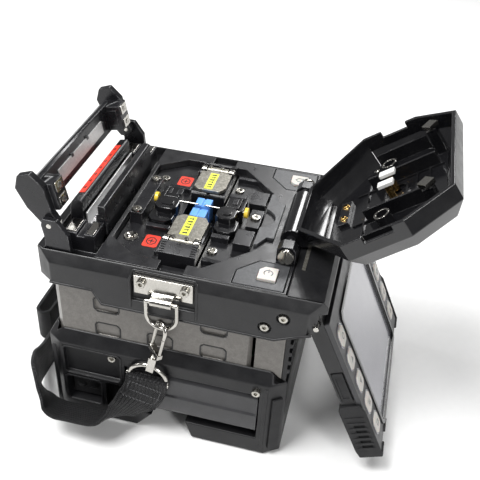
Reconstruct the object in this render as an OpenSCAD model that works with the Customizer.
// Fiber fusion splicer with its wind cover, heater lid and monitor open.
// X runs along the fibre and +X is the far side; -Y is the operator's side with the monitor.
// Z is up. The origin is the middle of the housing's underside, and the strap's plane of symmetry is X = 0.

/* [Housing] */
// Width of the housing over its bumpers, along X
body_w = 131; // [130:0.5:134]
// Height of the deck above the table
deck_z = 124.5; // [123.5:0.5:126]
// Rear face of the housing, on the heater's side
rear_y = 80; // [79:1:86]
// Wall thickness of the moulded shells
wall = 2.4; // [1.8:0.2:2.8]

/* [Wind cover] */
// Angle from closed to the stored open position
cover_open = 142.8; // [100:0.1:146]
// Height of the closed cover above the deck
cover_h = 19.5; // [19:0.5:22]

/* [Heater] */
// Angle from closed to the stored open position of the heater's lid
heater_open = 102; // [70:1:104]

/* [Monitor] */
// Angle of the monitor out from the vertical
monitor_tilt = 25; // [10:1:40]
// Width of the monitor's housing
monitor_w = 119; // [114:1:120]
// Length of the monitor below its hinge
monitor_l = 103; // [102:1:108]
// Pitch of the key rows beside the screen
key_pitch = 17; // [16:0.5:17]
// Distance of each key column from the middle
key_x = 50; // [49:0.5:50.5]

/* [Strap] */
// Width of the webbing
strap_w = 25; // [20:1:25]
// Thickness of the webbing
strap_t = 2; // [1.5:0.1:2.5]

/* [Hidden] */
$fn = 48;
eps = 0.01;
run_gap = 0.05;
loose_gap = 0.3;
pin_r = 1.5;
hw = body_w / 2;
foot_z = 15;
front_y = -64;
lobe_y = -79.5;
rim_z = 59.5;
shell_z = 61;
belt_x = 60;
belt_rear = 74;
belt_seam = -43.6;
belt_top = deck_z - 6;
bumper_z = 96;
ring_x = hw - 5;
well_z = 120;
fib_y = 5;
fib_z = 126.5;
trench_z = 112;
cover_y = -52;
cover_z = 130;
rim_cz = deck_z + loose_gap;
crease_z = rim_cz + 9.5;
cover_top = rim_cz + cover_h;
roof_z = cover_top - wall;
heater_y = 71.5;
heater_z = 138.5;
plinth_z = 119;
mon_y = -75;
mon_z = 108.5;
mon_face = 6;
mon_hw = monitor_w / 2;
key_first = 18;
chain_x = hw + 2.7;
link_y = 7;
link_z = 108.4;
bow_z = 90.4;
hook_tilt = 12;
bar_drop = 43.8;

// ---------- shared shapes ----------

// Slab with the corners of its rectangle cut, cx along X and cy along Y
module plan_slab(w, y0, y1, cx, cy, z0, z1)
  translate([0, 0, z0]) linear_extrude(z1 - z0)
    polygon([[-w + cx, y0], [w - cx, y0], [w, y0 + cy], [w, y1 - cy],
             [w - cx, y1], [-w + cx, y1], [-w, y1 - cy], [-w, y0 + cy]]);

// Box from its low corner to its high corner
module span(a, b) translate(a) cube(b - a);

// Outline in Y and Z, extruded along X
module along_x(x0, x1, pts) translate([x0, 0, 0]) rotate([90, 0, 90]) linear_extrude(x1 - x0) polygon(pts);

// Outline in X and Z, extruded along Y
module along_y(y0, y1, pts) translate([0, y1, 0]) rotate([90, 0, 0]) linear_extrude(y1 - y0) polygon(pts);

// Rod along X
module rod_x(x0, x1, y, z, r) translate([x0, y, z]) rotate([0, 90, 0]) cylinder(h = x1 - x0, r = r);

// Rod along Y
module rod_y(y0, y1, x, z, r) translate([x, y1, z]) rotate([90, 0, 0]) cylinder(h = y1 - y0, r = r);

// Rod along Z
module rod_z(z0, z1, x, y, r) translate([x, y, z0]) cylinder(h = z1 - z0, r = r);

// The same piece on the near and the far side
module both_sides() {
  children();
  mirror([1, 0, 0]) children();
}

// Half ring of round wire, arched over Y
module wire_bow(r, wire) rotate([0, -90, 0]) rotate([0, 0, -90]) rotate_extrude(angle = 180)
  translate([r, 0]) circle(wire, $fn = 24);

// Socket-head screw with its head along +Z
module socket_screw(r, h, shank)
  difference() {
    union() {
      cylinder(h = h, r = r);
      translate([0, 0, -shank]) cylinder(h = shank + eps, r = r * 0.55);
    }
    translate([0, 0, h * 0.45]) cylinder(h = h, r = r * 0.52, $fn = 6);
  }

// Pan-head screw with a cross slot, its head along +Z
module pan_screw(r, h, shank)
  difference() {
    union() {
      cylinder(h = h, r1 = r, r2 = r * 0.72);
      translate([0, 0, -shank]) cylinder(h = shank + eps, r = r * 0.5);
    }
    for (a = [0, 90]) rotate([0, 0, a])
      translate([-r * 0.55, -r * 0.12, h * 0.5]) cube([r * 1.1, r * 0.24, h]);
  }

// ---------- lower housing ----------

tub_cut_x = 6;
tub_cut_y = 9;

// Blind finger recess under each side, between the feet
module finger_recess() along_x(-hw - 1, -hw + 15, [[-10, -1], [-10, 0], [-5, foot_z], [14, foot_z], [25, 0], [25, -1]]);

module base_tub() color("#2a2a2d") difference() {
  union() {
    plan_slab(hw, front_y, rear_y, tub_cut_x, tub_cut_y, 0, rim_z);
    hull() {
      plan_slab(hw, front_y, rear_y, tub_cut_x, tub_cut_y, rim_z - 0.1, rim_z);
      plan_slab(belt_x + 0.8, front_y + 3, rear_y - 4, 5, 7, 66.5, 67);
    }
  }
  span([-hw + 9, front_y + 5, foot_z + 3], [hw - 9, rear_y - 6, 75]);
  span([-belt_x - 0.2, front_y - 6, shell_z], [belt_x + 0.2, belt_rear + loose_gap, 75]);
  both_sides() {
    finger_recess();
    span([-hw - 1, 34, 35.5], [-hw + 3, 69, 57]);
    span([-hw - 1, 47, 12], [-hw + 7, 69, 32.5]);
    span([-hw - 1, 34, 12], [-hw + 5, 44, 32.5]);
    span([-hw - 1, -49.5, 13.5], [-hw + 7.5, 31, 50.5]);
    translate([-hw + 3, -59.5, 5]) rotate([0, 0, 34]) translate([-4, -3.6, 0]) cube([3.9, 7.2, 44]);
  }
  at_case_screws() translate([0, 0, -6]) cylinder(h = 6.5, r = 1.6);
}

// Inlay in the recess of each front corner
module corner_guards() color("#1c1c1e") both_sides()
  translate([-hw + 3, -59.5, 5.4]) rotate([0, 0, 34]) translate([-1.6, -3.2, 0]) cube([1.5, 6.4, 43.2]);

// Bulged panel that closes each side of the battery bay
module side_panels() color("#3b3b3e") both_sides()
  along_y(-49, 30.6, [[-hw + 7.5, 19], [-hw + 1.2, 19], [-hw - 0.5, 22.4], [-hw - 0.5, 33.4], [-hw + 0.6, 34.3],
                      [-hw + 0.6, 46.6], [-hw + 2.6, 49.4], [-hw + 7.5, 49.4]]);

module battery_pack() color("#26262a") {
  span([-50, -45, foot_z + 3], [50, 28, 50]);
  for (y = [-38 : 15 : 18]) span([-46, y, 50 - eps], [46, y + 6, 51]);
}

// ---------- middle shell ----------

recess_y = [42.2, 11, -20.2];
recess_z = [66.6, 85.4];

module mid_shell() color("#8b8781") difference() {
  plan_slab(belt_x, belt_seam, belt_rear, 4, 4, shell_z, belt_top);
  plan_slab(belt_x - wall, belt_seam - 8, belt_rear - wall, 3, 3, shell_z + 2, belt_top + 1);
  both_sides() for (y = recess_y, z = recess_z) span([-belt_x - 1, y - 7.2, z], [-belt_x + 1, y + 7.2, z + 9.6]);
}

module front_cheeks() color("#8b8781") both_sides()
  span([-belt_x, -60, shell_z], [-belt_x + wall, belt_seam - 0.2, 112.8]);

module front_panel() color("#1d1d1f") {
  span([-belt_x, -62.6, shell_z], [belt_x, -60.2, 112]);
  for (k = [0 : 4]) span([-belt_x, -64.2, 68 + k * 6.5], [belt_x, -62.6 + eps, 71 + k * 6.5]);
}

lobe_screws = [[-48.4, 103.7], [-57.8, 112]];
tub_screws = [[39.5, 52.9], [-47.6, 54]];
bracket_screws = [-5, 19];

// Places of the socket screws on both sides
module at_case_screws() both_sides() {
  for (p = lobe_screws) translate([-hw + 2, p[0], p[1]]) rotate([0, -90, 0]) children();
  for (p = tub_screws) translate([-hw + (p[0] > 0 ? 3 : 0), p[0], p[1]]) rotate([0, -90, 0]) children();
  for (y = bracket_screws) translate([-hw + 0.6, y, link_z + 8.8]) rotate([0, -90, 0]) children();
}

module top_bumper() color("#343437") difference() {
  intersection() {
    along_x(-hw, hw, [[rear_y, 105], [rear_y, deck_z], [-77, deck_z], [lobe_y, deck_z - 3.5], [lobe_y, 111],
                      [-74, 104.5], [-66, 101.5], [-54, bumper_z], [42.5, bumper_z], [47.5, 105]]);
    plan_slab(hw, lobe_y, rear_y, 6, 9, 90, 130);
    along_y(-90, 90, [[-hw, 90], [hw, 90], [hw, 118.8], [hw - 4.2, deck_z], [-hw + 4.2, deck_z], [-hw, 118.8]]);
  }
  // space inside the ring for the belt and the deck
  span([-ring_x, -57.5, 90], [ring_x, rear_y - 5, 130]);
  span([-ring_x, -66, 90], [ring_x, -57, 113]);
  // space under the front bar for the monitor's hinge
  span([-62.4, -90, 90], [62.4, -65, 115.8]);
  rod_x(-62.4, 62.4, mon_y, mon_z, 8);
  // trough for the cover's barrel
  rod_x(-22.8, 22.8, cover_y, cover_z, trough_r);
  both_sides() {
    // pocket for the strap bracket, and the counterbores of the lobe's screws
    span([-hw - 1, -10.5, 104], [-hw + 2.4, 24.5, 122.6]);
    for (p = lobe_screws) translate([-hw + 2, p[0], p[1]]) rotate([0, -90, 0]) cylinder(h = 5, r = 3.6);
    rod_x(-hw + 1, -62, mon_y, mon_z, pin_r + run_gap);
  }
  at_case_screws() translate([0, 0, -8]) cylinder(h = 8.5, r = 1.6);
}

// ---------- deck ----------

well = [[-40, 44], [-52, 28], [-52, -10], [-30, -32], [30, -32], [52, -10], [52, 28], [40, 44]];
key_land = [[-hw + 6.6, -28], [-hw + 6.6, -55.5], [-37, -55.5], [-37, -38.5], [-48, -28]];
key_at = [-47.7, -45.2];
key_shape = [[-5.2, -4.8], [5.2, -4.8], [5.2, 2.4], [2.4, 5.2], [-5.2, 5.2]];
tray_screws = [[32, -10.6], [31.5, 37.3]];
rail_screw = [17, 38.6];

module deck_plate() color("#303033") difference() {
  span([-ring_x + 0.1, -57.2, belt_top], [ring_x - 0.1, 46.8, deck_z]);
  translate([0, 0, 110]) linear_extrude(20) polygon(well);
  rod_x(-22.8, 22.8, cover_y, cover_z, trough_r);
  both_sides() {
    span([-hw, -2, deck_z - 3.5], [-45, 12, deck_z + 1]);
    translate([0, 0, deck_z - 2.5]) linear_extrude(4) polygon(key_land);
    rod_z(100, 130, key_at[0], key_at[1], 6.6);
  }
}

module key_plates() color("#55575a") both_sides() difference() {
  translate([0, 0, deck_z - 2.5]) linear_extrude(2.6) offset(delta = -loose_gap) polygon(key_land);
  translate([key_at[0], key_at[1], 110]) linear_extrude(20) offset(delta = loose_gap) polygon(key_shape);
}

// Push key with five sides, standing proud of its plate
module deck_key() translate([key_at[0], key_at[1], 0]) {
  translate([0, 0, deck_z - 1.6]) linear_extrude(3) polygon(key_shape);
  rod_z(deck_z - 5, deck_z - 1.6 + eps, 0, 0, 4);
}

module power_key() color("#d8d6cc") deck_key();
module set_key() color("#d8d6cc") mirror([1, 0, 0]) deck_key();

module splice_tray() color("#202022") difference() {
  union() {
    span([-57, -41, 110], [57, 46, belt_top]);
    translate([0, 0, belt_top - eps]) linear_extrude(well_z - belt_top + eps) offset(delta = -loose_gap) polygon(well);
  }
  span([-50.8, -5.9, trench_z], [50.8, 15.9, 130]);
  span([-5, 1.5, 100], [5, 8.5, 115]);
  both_sides() {
    rod_z(112, 124, key_at[0], key_at[1], 6.6);
    for (p = tray_screws) rod_z(well_z - 5, 124, p[0], p[1], 1.5);
  }
  rod_x(-22.8, 22.8, cover_y, cover_z, trough_r + 1);
}

module chassis_rail() color("#39393c") difference() {
  union() {
    span([-19.5, 34.6, well_z], [19.5, 42.2, 128]);
    both_sides() span([-27.5, -30.5, well_z], [-13.5, -20.5, 125.5]);
    span([-9, -31.2, well_z], [9, -23.6, 124.8]);
  }
  both_sides() rod_z(122, 130, rail_screw[0], rail_screw[1], 1.5);
  rod_z(119, 130, 0, -27.6, 1.5);
}

// Pair of ceramic blocks with a groove along the fibre
module v_grooves() color("#7fb2f2") both_sides() difference() {
  span([-9.4, fib_y - 4.6, trench_z], [-1.4, fib_y + 4.6, 126]);
  translate([-12, fib_y, 125.2]) rotate([45, 0, 0]) cube([12, 1.4, 1.4]);
}

module lamp_covers() color("#141415") {
  rod_z(well_z, 125.6, -11.5, 25.6, 7.6);
  rod_z(well_z, 125.6, -11.5, -13.6, 6.6);
}

// Electrode rods that meet at the fibre; s is the side along Y
module at_electrode(s) translate([0, fib_y, 127.6]) rotate([s * -90, 0, 0]) children();

module electrodes() color("#d9d9d9") for (s = [-1, 1]) at_electrode(s) {
  translate([0, 0, 1]) cylinder(h = 1.8, r1 = 0.08, r2 = 0.6);
  translate([0, 0, 2.8]) cylinder(h = 23, r = 0.6);
}

// Clamp block under each electrode and its yellow thumb cap
module electrode_clamps() for (s = [-1, 1]) {
  color("#1a1a1c") difference() {
    translate([1.2, fib_y + s * 18.4 - 3.8, well_z]) cube([10.4, 7.6, 9]);
    at_electrode(s) cylinder(h = 30, r = 0.7);
  }
  color("#1a1a1c") difference() {
    translate([-1.2, fib_y + s * 24 - 1.2, well_z]) cube([12.8, 2.4, 9]);
    at_electrode(s) cylinder(h = 30, r = 0.65);
  }
  color("#e0c020") at_electrode(s) difference() {
    translate([0, 0, 26]) cylinder(h = 2.2, r = 3.1);
    cylinder(h = 27, r = 0.65);
  }
}

// Stepped block between the well and the cover's barrel, with a round relief
module cover_seat() color("#6a6a6c") difference() {
  translate([0, 0, deck_z]) linear_extrude(2)
    polygon([[-18, -42], [18, -42], [18, -38], [26, -34], [26, -32.2], [-26, -32.2], [-26, -34], [-18, -38]]);
  rod_z(120, 130, 0, -29, 10);
}

module lens_barrels() color("#2b2b2e") both_sides() translate([-14, fib_y, 98]) rotate([0, 35, 0])
  rotate_extrude() polygon([[0, -26], [9, -26], [9, -10], [6.2, -8], [6.2, 6], [0, 6]]);

board_posts = [[47, -38], [47, 61], [-47, -38], [-47, 61]];

module main_board() color("#1e5a37") {
  span([-52, -42, 67], [52, 66, 68.6]);
  for (p = board_posts) rod_z(shell_z + 2, 67 + eps, p[0], p[1], 2.4);
}

module case_screws() color("#b9b5ab") at_case_screws() socket_screw(2.5, 2.2, 2.9);

module deck_screws() color("#c9c6bd") {
  both_sides() {
    translate([rail_screw[0], rail_screw[1], 128]) pan_screw(2.8, 1.6, 5);
    for (p = tray_screws) translate([p[0], p[1], well_z]) pan_screw(2.7, 1.3, 4);
  }
  translate([0, -27.6, 124.8]) pan_screw(2.6, 1.4, 4);
}

// ---------- strap hardware on each side ----------

// Steel bracket with its folded loop
module strap_brackets() color("#c8c6c0") both_sides() difference() {
  union() {
    span([-hw + 0.6, -9.3, link_z + 1], [-hw + 2.4, 23.3, link_z + 12.8]);
    along_y(1, 13, [[-hw + 2.4, link_z + 3], [-hw + 0.6, link_z + 3.6], [-chain_x, link_z + 2.4],
                    [-chain_x, link_z - 2.4], [-hw + 2.4, link_z - 0.2]]);
    rod_y(1, 13, -chain_x, link_z, 2.4);
  }
  rod_y(0, 14, -chain_x, link_z, 1.45);
  for (y = bracket_screws) translate([-hw + 4, y, link_z + 8.8]) rotate([0, -90, 0]) cylinder(h = 6, r = 1.6);
}

// D-shaped wire link hanging from the bracket's loop
module strap_links() color("#cfcfcf") both_sides() {
  rod_y(link_y - 8.6, link_y + 8.6, -chain_x, link_z, 1.15);
  for (s = [-8.6, 8.6]) {
    rod_z(bow_z + 8.6, link_z, -chain_x, link_y + s, 1.15);
    translate([-chain_x, link_y + s, link_z]) sphere(1.15);
  }
  translate([-chain_x, link_y, bow_z + 8.6]) mirror([0, 0, 1]) wire_bow(8.6, 1.15);
}

// Frame of the hook and the strap's ring: hangs from the link's bow and leans to the rear
module hang() translate([-chain_x, link_y, bow_z]) rotate([hook_tilt, 0, 0]) children();

// Snap hook: wire bow over the link, base, and a swivel with its eye
module snap_hooks() color("#d4d4d2") both_sides() hang() {
  rotate([0, 0, 45]) {
    translate([0, 0, -1]) rotate([0, 0, 90]) wire_bow(4.6, 1.2);
    rod_z(-18, -1, 4.6, 0, 1.2);
    rod_z(-4.6, -1, -4.6, 0, 1.2);
    span([-5.6, -1.7, -20.5], [5.6, 1.7, -17.2]);
  }
  rod_z(-24, -20.5 + eps, 0, 0, 1.6);
  difference() {
    span([-2.3, -2.3, -35], [2.3, 2.3, -24 + eps]);
    rod_y(-3, 3, 0, -32.4, 1.75);
  }
}

// Sprung gate wire of a snap hook
module gate() hang() rotate([0, 0, 45]) rod_z(-16.8, -5, -4.6, 0, 1.1);

module gate_near() color("#dcdcda") gate();
module gate_far() color("#dcdcda") mirror([1, 0, 0]) gate();

// D-ring sewn into each end of the webbing
module strap_rings() color("#d0d0ce") both_sides() hang() translate([0, 0, -bar_drop]) {
  wire_bow(11.4, 1.3);
  rod_y(-13, 13, 0, 0, 1.3);
}

// Route of the webbing: place of its middle, and the direction across it
side_route = [[-68.2, 16.4, 46, 0, 1, 0.2], [-68.6, 18, 38.4, 0, 1, 0.22],
              [-70.2, 22, 31, -0.2, 0.9, 0.42], [-73.4, 28.6, 23.6, -0.5, 0.65, 0.55],
              [-76.6, 35.6, 18.2, -0.75, 0.35, 0.52], [-78.6, 43.5, 15.8, -0.86, 0.1, 0.48],
              [-79, 52, 15.6, -0.88, 0, 0.47], [-79, 61, 15.4, -0.88, 0, 0.47],
              [-78.6, 69, 14.9, -0.88, -0.05, 0.47]];
rear_route = [[-77.4, 76, 17.2, -0.85, -0.2, 0.45], [-74.4, 81.8, 23, -0.75, -0.4, 0.5],
              [-69, 86.8, 26.6, -0.5, -0.2, 0.85], [-61, 91.6, 24, -0.1, 0, 1], [-51, 95.6, 17.6, 0, 0, 1],
              [-40, 97.4, 13.8, 0, 0, 1], [-27, 97.9, 12.7, 0, 0, 1], [-8, 98, 12.7, 0, 0, 1],
              [20, 98, 12.7, 0, 0, 1], [46, 98, 12.7, 0, 0, 1], [50, 99.4, 12.7, 0, 0, 1],
              [51.8, 102.8, 12.7, 0, 0, 1], [50, 106.1, 12.7, 0, 0, 1], [46, 107.5, 12.7, 0, 0, 1],
              [20, 107.5, 12.7, 0, 0, 1], [-6, 107.5, 12.7, 0, 0, 1], [-10, 108.9, 12.7, 0, 0, 1],
              [-11.8, 112.3, 12.7, 0, 0, 1], [-10, 115.6, 12.7, 0, 0, 1], [-6, 117, 12.7, 0, 0, 1],
              [20, 117, 12.7, 0, 0, 1], [43, 115.5, 12.7, 0, 0, 1], [58, 109, 12.9, 0.05, 0, 1],
              [69, 99.5, 14, 0.3, 0.15, 0.9], [76, 88.5, 15, 0.65, 0.1, 0.7],
              [78.4, 78.5, 15, 0.82, 0, 0.55]];
far_route = [for (i = [len(side_route) - 1 : -1 : 0]) let (p = side_route[i]) [-p[0], p[1], p[2], -p[3], p[4], p[5]]];
route = concat(side_route, rear_route, far_route);

function unit(v) = v / norm(v);
function place(i) = [route[i][0], route[i][1], route[i][2]];
function heading(i) = unit(place(min(i + 1, len(route) - 1)) - place(max(i - 1, 0)));
function across(i) = let (w = [route[i][3], route[i][4], route[i][5]], t = heading(i)) unit(w - t * (w * t));
function ring_of(i) =
  let (c = place(i), v = across(i), n = cross(heading(i), v))
  [for (k = [[-1, -0.4], [-0.96, -1], [0.96, -1], [1, -0.4], [1, 0.4], [0.96, 1], [-0.96, 1], [-1, 0.4]])
    c + v * k[0] * strap_w / 2 + n * k[1] * strap_t / 2];

module carry_strap() color("#1b1b1d") {
  n = len(route);
  points = [for (i = [0 : n - 1]) each ring_of(i)];
  side = [for (i = [0 : n - 2], k = [0 : 7]) let (a = i * 8 + k, b = i * 8 + (k + 1) % 8)
    each [[b, a, a + 8], [b, a + 8, b + 8]]];
  near_end = [for (k = [1 : 6]) [0, k, k + 1]];
  far_end = [for (k = [1 : 6]) [(n - 1) * 8, (n - 1) * 8 + k + 1, (n - 1) * 8 + k]];
  polyhedron(points, concat(near_end, side, far_end));
}

// ---------- heater ----------

module heater_tray() color("#39393d") difference() {
  union() {
    // low plinth behind the deck
    span([-54, 47.1, 112], [54, belt_rear - 3, belt_top + eps]);
    span([-ring_x + 0.2, 47.1, belt_top], [ring_x - 0.2, rear_y - 5.2, plinth_z]);
    // rear wall with its label slope, and the front rail
    along_x(-36, 36, [[62.4, plinth_z - eps], [62.8, 140.4], [64.2, 141.4], [68.8, 140.4], [70.2, 136], [71, plinth_z - eps]]);
    along_x(-37, 37, [[48.6, plinth_z - eps], [49.2, 139.4], [50, 140.4], [53.6, 140.4], [54.4, plinth_z - eps]]);
    // end blocks that carry the lower magnets, and the pivot cheeks
    both_sides() {
      span([-51.2, 50, plinth_z - eps], [-37.5, 68, 130.6]);
      along_x(-60, -56.8, [[60, plinth_z - eps], [61, 134], [67, heater_z + 4], [75, heater_z + 4],
                           [76, heater_z], [74.6, 130], [74.6, plinth_z - eps]]);
    }
  }
  both_sides() {
    rod_x(-60.2, -56, heater_y, heater_z, pin_r + run_gap);
    // way for the fibre out of the tray's end
    span([-52, 56.2, 128.6], [-36, 60.4, 132]);
  }
}

// Metal heating channel that the splice sleeve lies in
module heater_channel() color("#b8b8b8") difference() {
  span([-35, 55, plinth_z], [35, 61.8, 133]);
  span([-36, 55.9, 124], [36, 60.9, 134]);
}

// Lid in its closed place: a cover strip between two arms with clamp blocks
module closed_heater_lid() {
  along_x(-47, 47, [[48.8, 144.8], [49.6, 142.2], [66, 142.2], [67, 143], [66.4, 148.4], [63, 150], [52, 150]]);
  both_sides() {
    span([-52, 50.6, 133.2], [-41, 66.2, 146.5]);
    difference() {
      along_x(-56.4, -51.9, [[42, 142], [43, 149.5], [50, 153], [62, 150], [75.4, 142.6], [76, 138], [74.4, 135],
                             [71.5, 134.2], [66, 136.4], [50, 136.4]]);
      rod_x(-58, -50, heater_y, heater_z, pin_r + run_gap);
    }
  }
}

module heater_lid() color("#202022") translate([0, heater_y, heater_z]) rotate([-heater_open, 0, 0])
  translate([0, -heater_y, -heater_z]) closed_heater_lid();

// Pivot pins of the heater's lid and of the monitor
module hinge_pins() color("#b5b5b5") both_sides() {
  rod_x(-60, -52.4, heater_y, heater_z, pin_r);
  rod_x(-64.4, -47, mon_y, mon_z, pin_r);
}

// ---------- wind cover ----------

cover_plan = [[-22, -45], [22, -45], [56, -13.5], [54.5, 20], [39, 45], [-39, 45], [-54.5, 20], [-56, -13.5]];
shaft_r = 3;
barrel_r = 6.2;
trough_r = barrel_r + 0.6;
bevel_in = 7.5;

// Outline moved inwards by d, edge by edge
function inset(p, d) = let (n = len(p)) [for (i = [0 : n - 1])
  let (u = unit(p[i] - p[(i + n - 1) % n]), v = unit(p[(i + 1) % n] - p[i]), a = [-u[1], u[0]], b = [-v[1], v[0]])
  p[i] + (a + b) * d / (1 + a * b)];

// Straight walls up to z1, then a bevel that leans in by d up to z2
module bevelled(p, z0, z1, z2, d) difference() {
  translate([0, 0, z0]) linear_extrude(z2 - z0) polygon(p);
  for (i = [0 : len(p) - 1]) {
    a = p[i];
    e = p[(i + 1) % len(p)] - a;
    lean = d / (z2 - z1);
    translate(a) rotate([0, 0, atan2(e[1], e[0])])
      along_x(-70, norm(e) + 70, [[0, z1], [(z2 + 1 - z1) * lean, z2 + 1], [-40, z2 + 1], [-40, z1]]);
  }
}

// Turns a piece of the closed cover to its open place
module open_cover() translate([0, cover_y, cover_z]) rotate([cover_open, 0, 0])
  translate([0, -cover_y, -cover_z]) children();

module wind_cover() color("#1f1f21") open_cover() difference() {
  union() {
    difference() {
      bevelled(cover_plan, rim_cz, crease_z, cover_top, bevel_in);
      bevelled(inset(cover_plan, wall), rim_cz - 1, crease_z - 0.6, roof_z, bevel_in - 0.5);
    }
    rod_x(-21, 21, cover_y, cover_z, barrel_r);
    // neck from the barrel up into the shell
    along_x(-21, 21, [[-55, 134], [-50, 128], [-44, 127], [-42.8, 133], [-37, 138], [-38, 142], [-50, 136.4]]);
  }
  rod_x(-22, 22, cover_y, cover_z, shaft_r + run_gap);
  // notches where the fibres pass under the rim
  both_sides() span([-60, -2, rim_cz - 1], [-48, 13.5, rim_cz + 3.6]);
}

liner_z = roof_z - 1.7;

module cover_liner() color("#19191a") open_cover() {
  difference() {
    translate([0, 0, liner_z]) linear_extrude(roof_z - liner_z) polygon(inset(cover_plan, 11.5));
    for (s = [-1, 1]) rod_z(130, 150, s * 5.4, fib_y, 2.3);
  }
  both_sides() {
    span([-17.2, -10, 132], [-15.6, 30, liner_z + eps]);
    span([-41.5, -7, 132], [-39.8, 24, liner_z + eps]);
    span([-34, 28, 125], [-27, 33.4, liner_z + eps]);
  }
}

module cover_fittings() open_cover() {
  // magnet pads
  color("#c9c7c0") both_sides() translate([-30.5, 31, 122.2]) rotate([0, 0, 45])
    translate([-3.2, -3.2, 0]) cube([6.4, 6.4, 2.8]);
  // lamp cups
  color("#8f8f8f") both_sides() translate([-26, 2, 132.4]) difference() {
    cylinder(h = liner_z - 132.4, r = 4.4);
    translate([0, 0, -1]) cylinder(h = 6, r = 3.2);
  }
  // hinge bracket and its two screws
  color("#9a9a98") span([-11, -29, liner_z - 2.2], [11, -22.6, liner_z]);
  color("#c9a24a") for (x = [-6, 6]) translate([x, -25.8, liner_z - 2.2]) rotate([180, 0, 0]) pan_screw(2.2, 1.2, 0);
}

// Sprung fibre presser: brass pin with a white foot
module presser(side) open_cover() translate([side * 5.4, fib_y, 0]) {
  color("#b8893a") rod_z(129, liner_z - 1, 0, 0, 1.9);
  color("#eeeeee") span([-2.4, -4.4, 127], [2.4, 4.4, 129 + eps]);
}

module presser_near() presser(-1);
module presser_far() presser(1);

module cover_shaft() {
  color("#a5a5a5") rod_x(-35.8 - eps, 35.8 + eps, cover_y, cover_z, shaft_r);
  both_sides() {
    color("#a5a5a5") difference() {
      rod_x(-38, -35.8, cover_y, cover_z, 4.4);
      span([-39, cover_y - 0.5, cover_z - 5], [-37, cover_y + 0.5, cover_z + 5]);
    }
    // saddle under the shaft, standing on the deck
    color("#1a1a1c") along_x(-34.5, -27, [[-57, deck_z], [-46.5, deck_z], [-46.5, 132], [-49, 134.5], [-55, 134.5], [-57, 132]]);
  }
}

// ---------- monitor ----------
// Modelled hanging straight down from its pivot, with its face towards -Y

screen_hw = 38.5;
screen_top = -13;
screen_low = -98;
roll_r = 6;
door_y = [-2.4, 4.2];
door_z = [-58, -36];

module hang_monitor() translate([0, mon_y, mon_z]) rotate([-monitor_tilt, 0, 0]) children();

module monitor_back() color("#3c3c3f") hang_monitor() difference() {
  union() {
    span([-mon_hw, -mon_face + 3, -monitor_l + 1.4], [mon_hw, roll_r, 0]);
    rod_x(-mon_hw, mon_hw, 0, 0, roll_r);
  }
  span([-mon_hw + 3, -mon_face, -monitor_l + 4.4], [mon_hw - 3, roll_r - 2.2, -9]);
  span([-mon_hw - 1, -roll_r - 1, -roll_r - 1], [mon_hw + 1, -mon_face + 3, 8]);
  both_sides() rod_x(-mon_hw - 1, -45, 0, 0, pin_r + run_gap);
  // opening of the side door
  span([-mon_hw - 1, door_y[0], door_z[0]], [-mon_hw + 4, door_y[1], door_z[1]]);
}

function key_z(k) = -key_first - key_pitch * k;

// Opening or cap of one key, with its corners cut
module key_prism(s, k, grow, y0, y1) translate([s * key_x, y1, key_z(k)]) rotate([90, 0, 0]) linear_extrude(y1 - y0)
  polygon(inset([[-3, -5.4], [3, -5.4], [5, -3.4], [5, 3.4], [3, 5.4], [-3, 5.4], [-5, 3.4], [-5, -3.4]], -grow));

module monitor_bezel() color("#47474a") hang_monitor() difference() {
  span([-mon_hw, -mon_face, -monitor_l + 1.4], [mon_hw, -mon_face + 3, -1.6]);
  span([-screen_hw, -mon_face - 1, screen_low], [screen_hw, -mon_face + 5, screen_top]);
  for (s = [-1, 1], k = [0 : 4]) key_prism(s, k, 0.3, -mon_face - 1, -mon_face + 4);
}

module monitor_glass() color("#a9a9b2") hang_monitor()
  span([-screen_hw, -mon_face + 1, screen_low], [screen_hw, -mon_face + 3, screen_top]);

module monitor_key(s, k) color("#dedbd6") hang_monitor() key_prism(s, k, 0, -mon_face - 1.2, -mon_face + 2.4);

// Rubber guards on the lower corners
module monitor_guards() color("#1b1b1c") hang_monitor() both_sides() difference() {
  along_x(-mon_hw - 1.8, -mon_hw + 9, [[-mon_face - 0.8, -monitor_l], [7.4, -monitor_l], [8.4, -monitor_l + 6], [8.4, -64],
                                       [7, -61], [-mon_face + 1, -61], [-mon_face - 0.8, -66]]);
  span([-mon_hw, -mon_face - 2, -monitor_l + 1.4], [1, roll_r, 0]);
  span([-mon_hw - 3, -mon_face + 2.6, -monitor_l + 8], [-mon_hw - 1, 3, -74]);
}

// Rubber door over the monitor's side port
module port_door() color("#333336") hang_monitor() difference() {
  span([-mon_hw - 0.6, door_y[0] + 0.2, door_z[0] + 0.3], [-mon_hw + 0.6, door_y[1] - 0.3, door_z[1] - 0.3]);
  span([-mon_hw - 1, -1, -55], [-mon_hw - 0.2, 2.6, -39]);
}

// ---------- sheath clamps ----------

clamp_x = 38.2;
clamp_z = 128;
clamp_pin = 1.1;

module sheath_block() color("#3a3a3d") difference() {
  union() {
    difference() {
      along_y(-5.4, 15.4, [[-48.8, trench_z + 0.3], [-13.4, trench_z + 0.3], [-13.4, 125.4], [-14.6, 126.6],
                           [-41.6, 126.6], [-41.6, 130.2], [-48.8, 127]]);
      span([-41.6 - eps, -1.9, 124.6], [-34.6, 11.9, 135]);
    }
    for (y = [-5.4, 12.2]) rod_y(y, y + 3.2, -clamp_x, clamp_z, 2.6);
    rod_y(-5, 15, -clamp_x, clamp_z, clamp_pin);
  }
  // groove for the coated fibre
  span([-50, fib_y - 0.9, 129.4], [-40, fib_y + 0.9, 132]);
  span([-34.7, fib_y - 0.9, 125.6], [-10, fib_y + 0.9, 132]);
}

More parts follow.
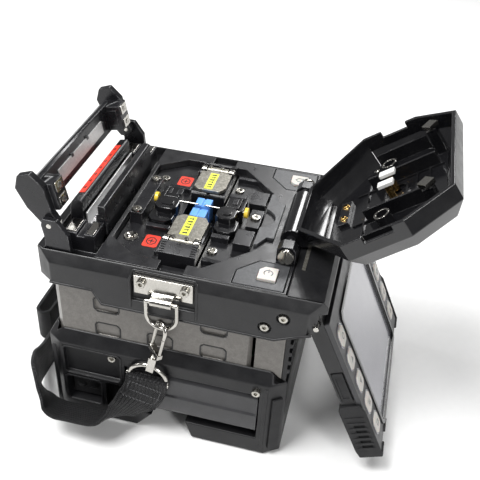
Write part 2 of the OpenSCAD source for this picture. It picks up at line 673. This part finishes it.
module sheath_lid() color("#a8a396") difference() {
  union() {
    translate([0, 0, 127]) linear_extrude(2.2)
      polygon([[-34.8, -1.5], [-34.8, -4.6], [-18.5, -4.6], [-14.2, -1.8], [-14.2, 11.4], [-17, 14.6], [-34.8, 14.6], [-34.8, 11.5]]);
    span([-38.2, -1.5, 127], [-34.6, 11.5, 129.2]);
    rod_y(-1.5, 11.5, -clamp_x, clamp_z, 2.3);
  }
  rod_y(-3, 13, -clamp_x, clamp_z, clamp_pin + run_gap);
}

module sheath_block_near() sheath_block();
module sheath_block_far() mirror([1, 0, 0]) sheath_block();
module sheath_lid_near() sheath_lid();
module sheath_lid_far() mirror([1, 0, 0]) sheath_lid();

// Sockets in the near pocket of the base
module io_ports() color("#101012") difference() {
  span([-hw + 4.8, 49, 14], [-hw + 7, 67, 30.5]);
  rod_x(-hw, -hw + 6.2, 62, 22, 3.2);
  span([-hw, 51, 19], [-hw + 6, 57, 25]);
}

base_tub();
corner_guards();
side_panels();
battery_pack();
mid_shell();
front_cheeks();
front_panel();
top_bumper();
deck_plate();
key_plates();
splice_tray();
chassis_rail();
v_grooves();
lamp_covers();
electrodes();
electrode_clamps();
cover_seat();
lens_barrels();
main_board();
case_screws();
deck_screws();
strap_brackets();
heater_tray();
heater_channel();
hinge_pins();
cover_shaft();
io_ports();
strap_links();
snap_hooks();
gate_near();
gate_far();
strap_rings();
carry_strap();
power_key();
set_key();
wind_cover();
cover_liner();
cover_fittings();
presser_near();
presser_far();
monitor_back();
monitor_bezel();
monitor_glass();
monitor_guards();
port_door();
monitor_key(-1, 0);  // key_l1
monitor_key(-1, 1);  // key_l2
monitor_key(-1, 2);  // key_l3
monitor_key(-1, 3);  // key_l4
monitor_key(-1, 4);  // key_l5
monitor_key(1, 0);  // key_r1
monitor_key(1, 1);  // key_r2
monitor_key(1, 2);  // key_r3
monitor_key(1, 3);  // key_r4
monitor_key(1, 4);  // key_r5
sheath_block_near();
sheath_block_far();
sheath_lid_near();
sheath_lid_far();
heater_lid();
